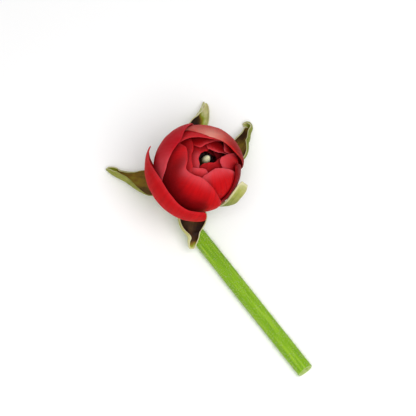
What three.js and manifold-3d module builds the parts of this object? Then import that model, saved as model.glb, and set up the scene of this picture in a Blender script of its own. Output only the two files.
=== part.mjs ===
// A Persian buttercup flower, picked and laid down: a half-open red bloom on a bare green stem.
// The stem lies along the surface, its neck bends up under the bloom, and the bloom leans on
// the tips of its reflexed sepals. Millimetres, +Z up, the surface is Z = 0, and the origin is
// under the middle of the flower's bounding box.
import * as THREE from 'three';
import { mergeVertices } from 'three/addons/utils/BufferGeometryUtils.js';
import Module from 'manifold-3d';

const wasm = await Module();
wasm.setup();

// Driving dimensions: lengths in millimetres, angles in degrees.
const BLOOM_CENTRE = [-3.536, 20.483, 31];
const BLOOM_LEAN = 14.5;
const BLADE = 0.65;
const CLAW_GAP = 0.35;
const SURFACE = 0;

// The receptacle's radius at [level on the bloom's axis, radius], from the neck to its top.
const RECEPTACLE = [
  [-23.2, 3.3], [-22, 4], [-21, 5.1], [-20.2, 5.3], [-18, 5],
  [-16, 4.3], [-13, 3.5], [-9, 3.2], [1, 3.2], [2, 2.9],
];
const NECK_LEVEL = RECEPTACLE[0][0];
const RECEPTACLE_TOP = RECEPTACLE[RECEPTACLE.length - 1][0];

// The neck bends from the bloom's axis to where the stem meets the surface, pulled along
// each end's own direction. Radii are at [distance past the neck, radius].
const NECK_END = [-3.4, -16.1];
const NECK_PULL = [6, 8];
const STEM_HEADING = [0.598, -0.802];
const STEM_LENGTH = 80;
const STEM_REST_HEIGHT = 3.15;
const STEM_RADII = [[4, 3.05], [30, 3.3], [110, 3.4]];
const STEM_SIDES = 14;

const SEPAL_LEVEL = -20.4;
const SEPAL_RING = 5.95;

const GOLDEN_ANGLE = 137.5;
const HEART_PETALS = 8;
const HEART_REACH = 11.9;
const HEART_STEP = 0.65;
const HEART_SPREAD = 55;
const MOUTH_RADIUS = 4.9;
const MOUTH_UNEVENNESS = 0.4;
const CLAW_RING = { inner: 3.95, outer: 4.7, low: -11.2, high: -6 };

const ORGAN_LEVEL = RECEPTACLE_TOP + 0.3;
const STAMENS = 26;
const STAMEN_RINGS = [{ radius: 3.05, lean: 1.5, length: 4.6 }, { radius: 3.55, lean: 2.5, length: 3.8 }];
const STAMEN_UNEVENNESS = 1.4;
const STAMEN_RADII = [0.45, 0.3];
const STAMEN_COLLAR = { inner: 2.55, outer: 4.5, low: ORGAN_LEVEL, high: ORGAN_LEVEL + 1 };
const STAMEN_ROOT = 0.5;
const STAMEN_LEAN = [0.09, 0.08];
const CARPEL_RADIUS = 1.95;
const CARPEL_TIP = 10.9;
const CARPEL_KNOB = 0.05;
const CARPEL_TAPER = 0.12;
const CARPEL_LEAN = [0.12, 0.17];
const RING_SIDES = 20;

const paint = (color, roughness) => new THREE.MeshStandardMaterial({ color, roughness, metalness: 0 });
const RED = paint(0xc01820, 0.5);
const HEART_RED = paint(0x8e1218, 0.55);
const GREEN = paint(0x76a516, 0.6);
const SEPAL_GREEN = paint(0x7a7a2c, 0.65);
const MAROON = paint(0x1e0a0e, 0.7);
const CREAM = paint(0xc8c8a0, 0.6);

// A value that changes smoothly between hand-placed [place, value] pairs.
function smoothAt(pairs, place) {
  const last = pairs.length - 1;
  const held = THREE.MathUtils.clamp(place, pairs[0][0], pairs[last][0]);
  let k = 0;
  while (k < last - 1 && held > pairs[k + 1][0]) {
    k += 1;
  }
  const slopeAt = (i) => {
    const a = pairs[Math.max(i - 1, 0)];
    const b = pairs[Math.min(i + 1, last)];
    return (b[1] - a[1]) / (b[0] - a[0]);
  };
  const width = pairs[k + 1][0] - pairs[k][0];
  const t = (held - pairs[k][0]) / width;
  const t2 = t * t;
  const t3 = t2 * t;
  return pairs[k][1] * (2 * t3 - 3 * t2 + 1)
    + slopeAt(k) * width * (t3 - 2 * t2 + t)
    + pairs[k + 1][1] * (3 * t2 - 2 * t3)
    + slopeAt(k + 1) * width * (t3 - t2);
}

// A thin closed blade: faces(u, v) gives the points of its outer and inner face, with u
// across and v from root to tip. Both faces are split along the same diagonals.
function blade(across, along, faces) {
  const row = across + 1;
  const inner = row * (along + 1);
  const positions = [[], []];
  for (let j = 0; j <= along; j += 1) {
    for (let i = 0; i <= across; i += 1) {
      faces(i / across, j / along).forEach((point, side) => positions[side].push(...point.toArray()));
    }
  }
  const index = [];
  for (let j = 0; j < along; j += 1) {
    for (let i = 0; i < across; i += 1) {
      const a = j * row + i;
      const b = a + 1;
      const c = b + row;
      const d = a + row;
      index.push(a, b, c, a, c, d);
      index.push(inner + a, inner + c, inner + b, inner + a, inner + d, inner + c);
    }
  }
  const closeEdge = (p, q) => index.push(q, p, inner + p, q, inner + p, inner + q);
  for (let i = 0; i < across; i += 1) {
    closeEdge(i, i + 1);
    closeEdge(along * row + i + 1, along * row + i);
  }
  for (let j = 0; j < along; j += 1) {
    closeEdge(j * row + across, (j + 1) * row + across);
    closeEdge((j + 1) * row, j * row);
  }
  const geometry = new THREE.BufferGeometry();
  geometry.setAttribute('position', new THREE.Float32BufferAttribute(positions.flat(), 3));
  geometry.setIndex(index);
  return geometry;
}

function namedMesh(name, geometry, material) {
  const mesh = new THREE.Mesh(geometry, material);
  mesh.name = name;
  geometry.computeVertexNormals();
  return mesh;
}

// A point of the bloom from its polar angle (0 at the mouth), its turn round the axis and
// its distance from the bloom's centre.
function bloomPoint(polar, turn, reach) {
  const [theta, phi] = [polar, turn].map(THREE.MathUtils.degToRad);
  return new THREE.Vector3(
    reach * Math.sin(theta) * Math.cos(phi),
    reach * Math.sin(theta) * Math.sin(phi),
    reach * Math.cos(theta),
  );
}

// The polar angle at which a petal of this reach meets the side of the receptacle.
function clawPolar(reach, gap) {
  let ring = 4;
  for (let pass = 0; pass < 6; pass += 1) {
    ring = smoothAt(RECEPTACLE, -Math.sqrt(reach * reach - ring * ring)) + gap;
  }
  return 180 - THREE.MathUtils.radToDeg(Math.asin(ring / reach));
}

// A cupped petal. Its rim is a line of [turn, polar angle] pairs and its reach a line of
// [turn, distance] pairs, which lets one side tuck under the petal next to it. It may stand
// off further from its middle to its rim. Towards its claw it narrows to a share of its
// width. Columns lie closer together towards its sides, where the rim falls steeply.
function petalBlade({ rim, reach, stand = 0, claw = 0.62, across = 10, along = 10, gap = CLAW_GAP }) {
  const [from, to] = [rim[0][0], rim[rim.length - 1][0]];
  const middle = (from + to) / 2;
  return blade(across, along, (u, v) => {
    const share = (u + (1 - Math.cos(u * Math.PI)) / 2) / 2;
    const rimTurn = THREE.MathUtils.lerp(from, to, share);
    const width = claw + (1 - claw) * Math.sin(v * Math.PI / 2);
    const turn = middle + (rimTurn - middle) * width;
    const rooted = smoothAt(reach, turn);
    const polar = THREE.MathUtils.lerp(clawPolar(rooted - BLADE, gap), smoothAt(rim, rimTurn), v);
    const outer = rooted + stand * THREE.MathUtils.smoothstep(v, 0.05, 0.75);
    return [bloomPoint(polar, turn, outer), bloomPoint(polar, turn, outer - BLADE)];
  });
}

// The petals whose rims show, from the outermost, which stands off the ball on the left, to
// those round the mouth. Turns run anticlockwise from the right, seen from above.
const PETALS = {
  petal_outer_left: {
    rim: [
      [156, 95], [172, 87], [193, 73], [210, 68], [231, 71], [252, 77], [267, 76],
      [274, 77], [277, 84], [279, 95],
    ],
    reach: [[156, 20.5], [200, 20.5], [250, 20.4], [279, 19.7]],
    stand: 2.7,
  },
  petal_outer_upper_left: {
    rim: [[99, 84], [107, 70], [124, 55], [150, 45], [178, 54], [198, 68], [207, 84]],
    reach: [[99, 19.45], [150, 19.5], [207, 19.4]],
  },
  petal_outer_back: {
    rim: [
      [6, 84], [7, 74], [8, 63], [9.5, 54], [12, 47.5], [16, 43], [22, 39.5], [34, 34.5], [51, 30.5],
      [74, 28.5], [90, 31], [102, 36], [112, 43.5], [119, 54], [124, 70],
    ],
    reach: [[6, 19.1], [20, 19], [60, 18.85], [90, 18.4], [124, 18.35]],
    across: 16,
  },
  petal_front: {
    rim: [
      [148, 62], [158, 37], [169, 31.5], [182, 30.5], [195, 31], [204, 34.5], [212, 38.5],
      [230, 36.5], [252, 33.5], [264, 36], [276, 41.5], [288, 54], [300, 80],
    ],
    reach: [[148, 18.4], [200, 18.4], [250, 18.6], [300, 18.35]],
    across: 14,
  },
  petal_outer_right: {
    rim: [
      [283, 98], [300, 85], [313, 75.5], [322, 69], [329, 63], [336, 57], [343, 52],
      [349, 47], [355, 49], [361, 58], [366, 74], [370, 90],
    ],
    reach: [[283, 17.3], [300, 17.3], [340, 17.5], [370, 17.5]],
    across: 14,
  },
  petal_right: {
    rim: [
      [244, 62], [256, 34], [266, 28], [280, 23.5], [304, 21.5], [325, 27.5],
      [337, 37], [343, 48], [346, 62], [348, 76],
    ],
    reach: [[244, 17.2], [272, 16.7], [290, 16.2], [320, 16.3], [348, 16.5]],
    across: 12,
  },
  petal_mid_back: {
    rim: [
      [32, 74], [40, 50], [50, 38], [63, 31], [83, 28.5], [101, 30.5], [116, 35],
      [126, 40], [140, 47], [154, 56], [166, 72],
    ],
    reach: [[32, 17.6], [70, 17.4], [140, 17.2], [166, 17.05]],
    across: 12,
  },
  petal_back_right: {
    rim: [[12, 78], [15, 62], [19, 44], [25, 35], [34, 34.5], [44, 42], [54, 52], [62, 66]],
    reach: [[12, 15.55], [28, 15.65], [44, 16.2], [62, 16.25]],
  },
  petal_mid_left: {
    rim: [[114, 66], [130, 38], [150, 27], [175, 26], [200, 27], [220, 31], [232, 44], [242, 68]],
    reach: [[114, 15.4], [162, 16.0], [182, 16.9], [242, 17.2]],
    across: 12,
  },
  petal_mid_front: {
    rim: [[199, 64], [211, 37], [231, 25], [255, 21], [270, 24], [285, 40], [296, 66]],
    reach: [[199, 15.95], [265, 15.55], [296, 15.1]],
  },
  petal_mid_right: {
    rim: [
      [319, 62], [331, 34], [341, 23], [352, 20.5], [363, 21.3], [371, 27], [375, 32],
      [378, 41], [381, 55], [383, 68], [385, 80],
    ],
    reach: [[319, 15.05], [345, 15.15], [356, 15.85], [366, 16.5], [385, 16.6]],
    across: 12,
  },
  petal_inner_back: {
    rim: [
      [50, 56], [60, 42], [74, 31], [84, 26.5], [98, 24], [112, 22.5],
      [126, 24], [134, 33], [142, 58],
    ],
    reach: [[50, 15.4], [88, 15.3], [101, 14.95], [114, 14.45], [142, 14.38]],
    across: 12,
  },
  petal_inner_left: {
    rim: [
      [66, 54], [72, 26], [80, 17.5], [96, 15.7], [110, 15], [129, 14.2], [147, 14], [172, 14.6],
      [192, 15.9], [212, 17], [230, 21], [243, 36], [253, 62],
    ],
    reach: [[66, 12.95], [98, 13], [112, 13.15], [142, 13.6], [165, 14.4], [195, 14.75], [253, 14.4]],
    across: 16,
    along: 14,
  },
  petal_inner_front: {
    rim: [
      [222, 56], [227, 30], [231, 19], [237, 12.5], [256, 9.6], [291, 8.6], [321, 12],
      [342, 16.6], [358, 19.8], [371, 27], [378, 40], [384, 58],
    ],
    reach: [[222, 13.4], [254, 13.45], [275, 13.9], [320, 13.9], [345, 13.55], [384, 13.25]],
    across: 14,
  },
  petal_inner_right: {
    rim: [
      [8, 66], [14, 52], [20, 42], [25, 34], [29, 26], [43, 19.6], [62, 17.1],
      [80, 17.4], [89, 19], [94, 27], [98, 42], [101, 58],
    ],
    reach: [[8, 14.3], [20, 14.4], [44, 14.4], [70, 14.2], [101, 14]],
    across: 12,
  },
};

function petals() {
  return Object.entries(PETALS).map(([name, shape]) => namedMesh(name, petalBlade(shape), RED));
}

// A repeatable stream of numbers from 0 to 1.
function seededRandom(seed) {
  let state = seed;
  return () => {
    state = (state * 48271) % 2147483647;
    return state / 2147483647;
  };
}

// Boolean joins work on closed solids whose shared corners are merged.
function solidOf(geometry) {
  const bare = new THREE.BufferGeometry();
  bare.setAttribute('position', geometry.getAttribute('position').clone());
  bare.setIndex(geometry.getIndex().clone());
  const merged = mergeVertices(bare, 1e-4);
  return new wasm.Manifold(new wasm.Mesh({
    numProp: 3,
    vertProperties: merged.getAttribute('position').array,
    triVerts: new Uint32Array(merged.getIndex().array),
  }));
}

// Joins closed shapes into one solid. Of the shells of the result the outermost is kept, so
// a pocket that the joining seals is filled.
function joined(geometries) {
  const body = geometries.map(solidOf).reduce((whole, piece) => whole.add(piece));
  const [outermost] = body.decompose().sort((a, b) => b.volume() - a.volume());
  const { vertProperties, triVerts } = outermost.getMesh();
  const geometry = new THREE.BufferGeometry();
  geometry.setAttribute('position', new THREE.BufferAttribute(new Float32Array(vertProperties), 3));
  geometry.setIndex(new THREE.BufferAttribute(new Uint32Array(triVerts), 1));
  return geometry;
}

// A ring that stands on the bloom's axis, between two radii and two levels.
function collar({ inner, outer, low, high }) {
  const corners = [[inner, low], [outer, low], [outer, high], [inner, high]];
  const profile = [...corners, corners[0]].map(([radius, level]) => new THREE.Vector2(radius, level));
  return new THREE.LatheGeometry(profile, RING_SIDES).rotateX(Math.PI / 2);
}

// The heart: small petals in a golden-angle spiral, each a little nearer the axis than the
// last, standing out of the ring of their joined claws. Each rim falls away to its sides.
function heart() {
  const random = seededRandom(7);
  const fall = [[-1, 80], [-0.75, 9], [0, 0], [0.75, 9], [1, 80]];
  const blades = Array.from({ length: HEART_PETALS }, (_, k) => {
    const middle = GOLDEN_ANGLE * k + 20;
    const reach = HEART_REACH - HEART_STEP * k;
    const mouth = MOUTH_RADIUS + MOUTH_UNEVENNESS * random();
    const top = THREE.MathUtils.radToDeg(Math.asin(mouth / reach));
    return petalBlade({
      rim: fall.map(([side, drop]) => [middle + HEART_SPREAD * side, Math.min(top + drop, 80)]),
      reach: [[middle - HEART_SPREAD, reach], [middle + HEART_SPREAD, reach]],
      across: 6,
      along: 7,
      gap: 0.8,
    });
  });
  return namedMesh('petals_heart', joined([collar(CLAW_RING), ...blades]), HEART_RED);
}

// Leans a piece of the bloom's middle over, above the level at which it stands.
function leaned(geometry, [x, y]) {
  const shear = new THREE.Matrix4();
  shear.set(1, 0, x, -x * ORGAN_LEVEL, 0, 1, y, -y * ORGAN_LEVEL, 0, 0, 1, 0, 0, 0, 0, 1);
  return geometry.applyMatrix4(shear);
}

// Dark stamens in two rings round the carpels, on a low collar.
function stamens() {
  const random = seededRandom(11);
  const pieces = [collar(STAMEN_COLLAR)];
  for (let k = 0; k < STAMENS; k += 1) {
    const ring = STAMEN_RINGS[k % STAMEN_RINGS.length];
    const length = ring.length + STAMEN_UNEVENNESS * random();
    const stamen = new THREE.CylinderGeometry(...STAMEN_RADII, length, 5);
    stamen.translate(0, length / 2, 0);
    stamen.rotateX(Math.PI / 2);
    stamen.rotateY(THREE.MathUtils.degToRad(ring.lean));
    stamen.translate(ring.radius, 0, ORGAN_LEVEL + STAMEN_ROOT);
    stamen.rotateZ(k * 2 * Math.PI / STAMENS);
    pieces.push(stamen);
  }
  return namedMesh('stamens', leaned(joined(pieces), STAMEN_LEAN), MAROON);
}

// The carpels: a blunt egg-shaped head whose surface is raised in small knobs.
function carpelHead() {
  const half = (CARPEL_TIP - ORGAN_LEVEL) / 2;
  const head = new THREE.SphereGeometry(1, 20, 14).rotateX(Math.PI / 2);
  const position = head.getAttribute('position');
  const point = new THREE.Vector3();
  for (let i = 0; i < position.count; i += 1) {
    point.fromBufferAttribute(position, i);
    const turn = Math.atan2(point.y, point.x);
    const knob = CARPEL_KNOB * Math.cos(8 * turn) * Math.sin(12 * point.z) * (1 - point.z * point.z);
    const radius = CARPEL_RADIUS * (1 + knob) * (1 - CARPEL_TAPER * point.z);
    position.setXYZ(i, point.x * radius, point.y * radius, ORGAN_LEVEL + half * (1 + point.z));
  }
  return namedMesh('carpel_head', leaned(mergedBody(head), CARPEL_LEAN), CREAM);
}

function mergedBody(geometry) {
  geometry.deleteAttribute('normal');
  geometry.deleteAttribute('uv');
  return mergeVertices(geometry, 1e-4);
}

// The bloom's own frame, leaning to the right.
const bloom = new THREE.Group();
bloom.position.set(0, 0, BLOOM_CENTRE[2]);
bloom.rotation.y = THREE.MathUtils.degToRad(BLOOM_LEAN);
bloom.updateMatrixWorld(true);
const inBloom = (x, y, z) => bloom.localToWorld(new THREE.Vector3(x, y, z));

// The stem's centre line: straight down the bloom's axis, round the bent neck and along the
// surface to the cut end.
function stemLine() {
  const top = inBloom(0, 0, RECEPTACLE_TOP);
  const neck = inBloom(0, 0, NECK_LEVEL);
  const down = neck.clone().sub(top).normalize();
  const heading = new THREE.Vector3(...STEM_HEADING, 0);
  const neckEnd = new THREE.Vector3(...NECK_END, STEM_REST_HEIGHT);
  const cut = neckEnd.clone().addScaledVector(heading, STEM_LENGTH);
  const line = new THREE.CurvePath();
  line.add(new THREE.LineCurve3(top, neck));
  line.add(new THREE.CubicBezierCurve3(
    neck,
    neck.clone().addScaledVector(down, NECK_PULL[0]),
    neckEnd.clone().addScaledVector(heading, -NECK_PULL[1]),
    neckEnd,
  ));
  line.add(new THREE.LineCurve3(neckEnd, cut));
  return line;
}

// The stem and the receptacle it swells into are one piece, a round tube whose underside is
// flattened a little where it lies. Rings are close along the receptacle and the bend.
function stem() {
  const line = stemLine();
  const length = line.getLength();
  const neck = RECEPTACLE_TOP - NECK_LEVEL;
  const radii = [
    ...[...RECEPTACLE].reverse().map(([level, radius]) => [RECEPTACLE_TOP - level, radius]),
    ...STEM_RADII.map(([distance, radius]) => [neck + distance, radius]),
  ];
  const stops = radii.filter(([distance]) => distance <= neck).map(([distance]) => distance);
  for (let distance = neck + 1.6; distance < neck + 22; distance += 1.7) {
    stops.push(distance);
  }
  for (let distance = neck + 25; distance < length - 3; distance += 5) {
    stops.push(distance);
  }
  stops.push(length);
  const turnToFlat = Math.PI / STEM_SIDES;
  const tube = new THREE.CylinderGeometry(1, 1, 1, STEM_SIDES, stops.length - 1, false, turnToFlat);
  const position = tube.getAttribute('position');
  for (let i = 0; i < position.count; i += 1) {
    const stop = stops[Math.round((0.5 - position.getY(i)) * (stops.length - 1))];
    const tangent = line.getTangent(THREE.MathUtils.clamp(stop / length, 1e-3, 1 - 1e-3));
    const side = new THREE.Vector3(1, 0, 0).addScaledVector(tangent, -tangent.x).normalize();
    const other = tangent.clone().cross(side).normalize();
    const radius = smoothAt(radii, stop);
    const point = line.getPoint(stop / length)
      .addScaledVector(side, radius * position.getX(i))
      .addScaledVector(other, radius * position.getZ(i));
    position.setXYZ(i, point.x, point.y, Math.max(point.z, SURFACE));
  }
  return namedMesh('stem', mergedBody(tube), GREEN);
}

// A sepal: a boat-shaped blade along a centre line from its root on the receptacle. Its
// half-width, the angle its margins curl up to and the angle it is twisted by, from facing
// the bloom, are [share of its length, value] pairs.
function sepal(name, { root, line, halfWidth, curl, twist = [[0, 0], [1, 0]], across = 6, along = 10 }) {
  const turn = THREE.MathUtils.degToRad(root);
  const start = inBloom(SEPAL_RING * Math.cos(turn), SEPAL_RING * Math.sin(turn), SEPAL_LEVEL);
  const path = new THREE.CatmullRomCurve3([start, ...line.map((p) => new THREE.Vector3(...p))]);
  const bloomCentre = inBloom(0, 0, 0);
  const geometry = blade(across, along, (u, v) => {
    const centre = path.getPointAt(v);
    const tangent = path.getTangentAt(v);
    const inward = bloomCentre.clone().sub(centre);
    const turned = THREE.MathUtils.degToRad(smoothAt(twist, v));
    const side = inward.cross(tangent).normalize().applyAxisAngle(tangent, turned);
    const facing = tangent.clone().cross(side).normalize();
    const half = smoothAt(halfWidth, v);
    const bend = smoothAt(curl, v);
    const arc = half / bend;
    const place = (2 * u - 1) * bend;
    return [-BLADE / 2, BLADE / 2].map((distance) => {
      const point = centre.clone()
        .addScaledVector(side, (arc - distance) * Math.sin(place))
        .addScaledVector(facing, arc - (arc - distance) * Math.cos(place));
      return point.setZ(Math.max(point.z, SURFACE));
    });
  });
  return namedMesh(name, geometry, SEPAL_GREEN);
}

// The five sepals, named as they lie round the bloom seen from above. The left, back and
// back right ones touch the surface with their tips, the right one stands up
// along the ball and turns its back outwards.
const SEPALS = {
  sepal_left: {
    root: 178,
    line: [
      [-16.5, 0.6, 8.4], [-21.6, 1.7, 6], [-27.3, 3.5, 4.2],
      [-31.3, 5.3, 3], [-34.7, 7.1, 1.8], [-39.5, 10.7, 0.4],
    ],
    halfWidth: [[0, 2], [0.28, 6.2], [0.46, 6.4], [0.64, 4.2], [0.82, 2.3], [1, 0.9]],
    curl: [[0, 0.5], [0.4, 0.5], [0.7, 1.1], [0.85, 1.3], [1, 0.8]],
  },
  sepal_back: {
    root: 100,
    line: [
      [-4.7, 16, 8.4], [-0.7, 29.2, 5], [0.1, 32.4, 3.8],
      [0.8, 35.5, 2.8], [1.4, 38.5, 1.4], [2.3, 40.8, 0.4],
    ],
    halfWidth: [[0, 1.9], [0.3, 5.2], [0.6, 4.9], [0.8, 3.4], [0.92, 2.3], [1, 0.9]],
    curl: [[0, 0.5], [0.5, 0.6], [0.75, 1.2], [0.9, 1.3], [1, 0.8]],
  },
  sepal_back_right: {
    root: 38,
    line: [
      [8, 10.5, 8.6], [16.6, 17, 7], [19.4, 21.3, 5], [21.5, 26, 3],
      [22.2, 29.4, 1.1], [20.8, 31.3, 0.5], [18.3, 30.7, 0.5],
    ],
    halfWidth: [[0, 2.2], [0.35, 6.4], [0.55, 6.2], [0.75, 3.4], [0.88, 1.7], [1, 0.8]],
    curl: [[0, 0.5], [0.5, 0.6], [0.75, 1.2], [0.9, 1.1], [1, 0.7]],
  },
  sepal_right: {
    root: 330,
    line: [
      [3.5, -6, 10.8], [7.5, -9.3, 13.8], [10.3, -12.3, 18.8], [12.9, -13.3, 24],
      [15.2, -12.4, 29], [17.5, -9.9, 31], [19.1, -6.8, 31.6],
    ],
    halfWidth: [[0, 2.2], [0.35, 2.9], [0.6, 2.9], [0.85, 3], [0.95, 2.8], [1, 1.6]],
    curl: [[0, 0.4], [0.4, 0.2], [1, 0.1]],
    twist: [[0, 0], [0.3, -18], [0.55, -36], [1, -38]],
  },
  sepal_front: {
    root: 262,
    line: [[-3.8, -13.7, 10.4], [-4.2, -19.8, 8.8], [-3.8, -23.3, 7.2], [-3.6, -26.9, 5.6]],
    halfWidth: [[0, 1.9], [0.35, 6.6], [0.5, 6.5], [0.72, 3.5], [0.88, 2.2], [1, 1]],
    curl: [[0, 0.5], [0.4, 0.6], [0.72, 1.1], [0.88, 1.3], [1, 0.8]],
  },
};

bloom.add(...petals(), heart(), stamens(), carpelHead());

const flower = new THREE.Group();
flower.add(bloom, stem());
for (const [name, shape] of Object.entries(SEPALS)) {
  flower.add(sepal(name, shape));
}
flower.position.set(BLOOM_CENTRE[0], BLOOM_CENTRE[1], 0);

const part = new THREE.Group();
part.add(flower);

export default part;
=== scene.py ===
import math
import random

import bmesh
import bpy
from mathutils import Matrix, Vector, noise
from mathutils.geometry import interpolate_bezier


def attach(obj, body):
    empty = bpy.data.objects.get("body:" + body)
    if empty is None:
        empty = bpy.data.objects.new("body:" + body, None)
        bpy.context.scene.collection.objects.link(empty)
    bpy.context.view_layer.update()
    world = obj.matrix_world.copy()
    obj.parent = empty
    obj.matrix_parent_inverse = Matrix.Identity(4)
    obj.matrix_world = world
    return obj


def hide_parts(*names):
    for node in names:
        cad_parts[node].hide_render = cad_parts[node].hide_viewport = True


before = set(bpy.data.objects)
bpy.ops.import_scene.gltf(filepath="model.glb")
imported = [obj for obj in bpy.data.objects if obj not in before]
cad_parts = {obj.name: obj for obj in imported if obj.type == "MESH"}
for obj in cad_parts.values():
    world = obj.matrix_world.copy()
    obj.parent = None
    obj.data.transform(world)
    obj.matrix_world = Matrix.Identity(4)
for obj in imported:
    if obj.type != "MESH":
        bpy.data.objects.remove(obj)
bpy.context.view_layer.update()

# The stem and receptacle. A juicy green stalk, round and finely ribbed, that swells under the
# bloom to the receptacle which carries sepals, petals and stamens. It grew as one piece: it
# runs down the bloom's axis, bends at the neck and lies along the surface to its cut end.
MM = 0.001
SURFACE = 0.0
BLOOM_CENTRE = Vector((-3.536, 20.483, 31))
BLOOM_LEAN = math.radians(14.5)
BLOOM = Matrix.Translation(BLOOM_CENTRE) @ Matrix.Rotation(BLOOM_LEAN, 4, "Y")
FOOT = Vector((BLOOM_CENTRE.x, BLOOM_CENTRE.y, 0))

# The receptacle's outline, as levels along the bloom's axis and the radius there.
RECEPTACLE = [
    (-23.2, 3.3), (-22, 4), (-21, 5.1), (-20.2, 5.3), (-18, 5),
    (-16, 4.3), (-13, 3.5), (-9, 3.2), (1, 3.2), (2, 2.9),
]
NECK_LEVEL = RECEPTACLE[0][0]
RECEPTACLE_TOP = RECEPTACLE[-1][0]
NECK_END = (-3.4, -16.1)
NECK_PULL = (6, 8)
NECK_STEPS = 24
TOP_STEPS = 8
STEM_HEADING = Vector((0.598, -0.802, 0))
STEM_LENGTH = 80
STEM_STEPS = 16
STEM_REST_HEIGHT = 3.15
STEM_RADII = [(4, 3.05), (30, 3.3), (110, 3.4)]
STEM_GRID = (48, 260)
STEM_TANGENT_STEP = 0.002
RIBS = 11
RIB_HEIGHT = 0.05
CUT_RIM = 0.25
PITH_RADIUS = 1.5
PITH_DEPTH = 6

STEM_GREEN = "#7fab1c"
STEM_LIGHT = "#9cc034"
STEM_SHADE = "#6a971a"
PITH_WHITE = "#c9d59a"


def smooth_at(pairs, place):
    """A value that changes smoothly between given (place, value) pairs."""
    last = len(pairs) - 1
    held = min(max(place, pairs[0][0]), pairs[last][0])
    k = 0
    while k < last - 1 and held > pairs[k + 1][0]:
        k += 1

    def slope_at(i):
        a, b = pairs[max(i - 1, 0)], pairs[min(i + 1, last)]
        return (b[1] - a[1]) / (b[0] - a[0])

    width = pairs[k + 1][0] - pairs[k][0]
    t = (held - pairs[k][0]) / width
    return (pairs[k][1] * (2 * t**3 - 3 * t**2 + 1)
            + slope_at(k) * width * (t**3 - 2 * t**2 + t)
            + pairs[k + 1][1] * (3 * t**2 - 2 * t**3)
            + slope_at(k + 1) * width * (t**3 - t**2))


def smooth_line(points):
    """A smooth line through points: gives its point at a share of its length, and the length."""
    steps = [0.0]
    for a, b in zip(points, points[1:]):
        steps.append(steps[-1] + (b - a).length)
    axes = [[(s, p[axis]) for s, p in zip(steps, points)] for axis in range(3)]

    def point_at(share):
        return Vector([smooth_at(axis, share * steps[-1]) for axis in axes])

    return point_at, steps[-1]


def way_along(point_at, share, step):
    """The way that a smooth line runs at a share of its length."""
    return (point_at(min(share + step, 1)) - point_at(max(share - step, 0))).normalized()


def linear(hex_colour):
    """The linear colour of an sRGB hex value."""
    channels = [int(hex_colour[i:i + 2], 16) / 255 for i in (1, 3, 5)]
    return [c / 12.92 if c <= 0.04045 else ((c + 0.055) / 1.055) ** 2.4 for c in channels] + [1.0]


def add(tree, kind, inputs=None, links=None, **settings):
    """Adds a node with its settings, its inputs' values and its links."""
    node = tree.nodes.new(kind)
    for name, value in settings.items():
        setattr(node, name, value)
    for socket, value in (inputs or {}).items():
        node.inputs[socket].default_value = value
    for socket, source in (links or {}).items():
        tree.links.new(source, node.inputs[socket])
    return node


def set_steps(ramp, steps):
    """Gives a colour ramp its (place, colour) steps."""
    while len(ramp.elements) < len(steps):
        ramp.elements.new(0.5)
    for element, (place, _) in zip(ramp.elements, steps):
        element.position = place
    for element, (_, colour) in zip(ramp.elements, steps):
        element.color = linear(colour)


def new_material(name):
    """An empty node material, and its tree."""
    material = bpy.data.materials.new(name)
    material.use_nodes = True
    material.node_tree.nodes.clear()
    return material, material.node_tree


def grid_sheet(bm, across, along, place, closed=False):
    """Adds a grid to bm and moves each vertex to place(u, v), with u across and v along, in
    millimetres. A closed one has its two long sides merged. Returns (vertex, u, v) rows."""
    made = bmesh.ops.create_grid(bm, x_segments=across, y_segments=along, size=0.5, calc_uvs=True)
    rows = []
    for vert in made["verts"]:
        u, v = vert.co.x + 0.5, vert.co.y + 0.5
        vert.co = MM * place(u, v)
        rows.append((vert, u, v))
    if closed:
        sides = [vert for vert, u, v in rows if u < 1e-6 or u > 1 - 1e-6]
        bmesh.ops.remove_doubles(bm, verts=sides, dist=1e-7)
    return rows


def finish_piece(name, bm, materials, replaces=()):
    """Turns bm into the piece's object, smooth shaded, which rides on the root body."""
    mesh = bpy.data.meshes.new(name)
    bm.to_mesh(mesh)
    bm.free()
    mesh.shade_smooth()
    for material in materials:
        mesh.materials.append(material)
    piece = bpy.data.objects.new(name, mesh)
    bpy.context.scene.collection.objects.link(piece)
    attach(piece, "root")
    if replaces:
        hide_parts(*replaces)
    return piece


def stem_line():
    """The stem's centre line from the receptacle's top to the cut end, and its length."""
    top = BLOOM @ Vector((0, 0, RECEPTACLE_TOP))
    neck = BLOOM @ Vector((0, 0, NECK_LEVEL))
    down = (neck - top).normalized()
    neck_end = FOOT + Vector((*NECK_END, STEM_REST_HEIGHT))
    bend = interpolate_bezier(neck, neck + NECK_PULL[0] * down,
                              neck_end - NECK_PULL[1] * STEM_HEADING, neck_end, NECK_STEPS)
    straight_top = [top.lerp(neck, k / TOP_STEPS) for k in range(TOP_STEPS)]
    straight_end = [neck_end + STEM_HEADING * STEM_LENGTH * k / STEM_STEPS
                    for k in range(1, STEM_STEPS + 1)]
    return smooth_line([*straight_top, *bend, *straight_end])


stem_point, stem_length = stem_line()
neck_distance = RECEPTACLE_TOP - NECK_LEVEL
stem_radii = [(RECEPTACLE_TOP - level, radius) for level, radius in reversed(RECEPTACLE)]
stem_radii += [(neck_distance + distance, radius) for distance, radius in STEM_RADII]


def stem_surface(turn, distance, stand=0.0):
    """A point on the stem's skin, and the way out of it there. A turn is in radians."""
    share = distance / stem_length
    centre = stem_point(share)
    tangent = way_along(stem_point, share, STEM_TANGENT_STEP)
    side = (Vector((1, 0, 0)) - tangent.x * tangent).normalized()
    other = tangent.cross(side)
    out = math.cos(turn) * side + math.sin(turn) * other
    rib = RIB_HEIGHT * math.cos(RIBS * turn)
    point = centre + (smooth_at(stem_radii, distance) + rib + stand) * out
    point.z = max(point.z, SURFACE)
    return point, out


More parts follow.
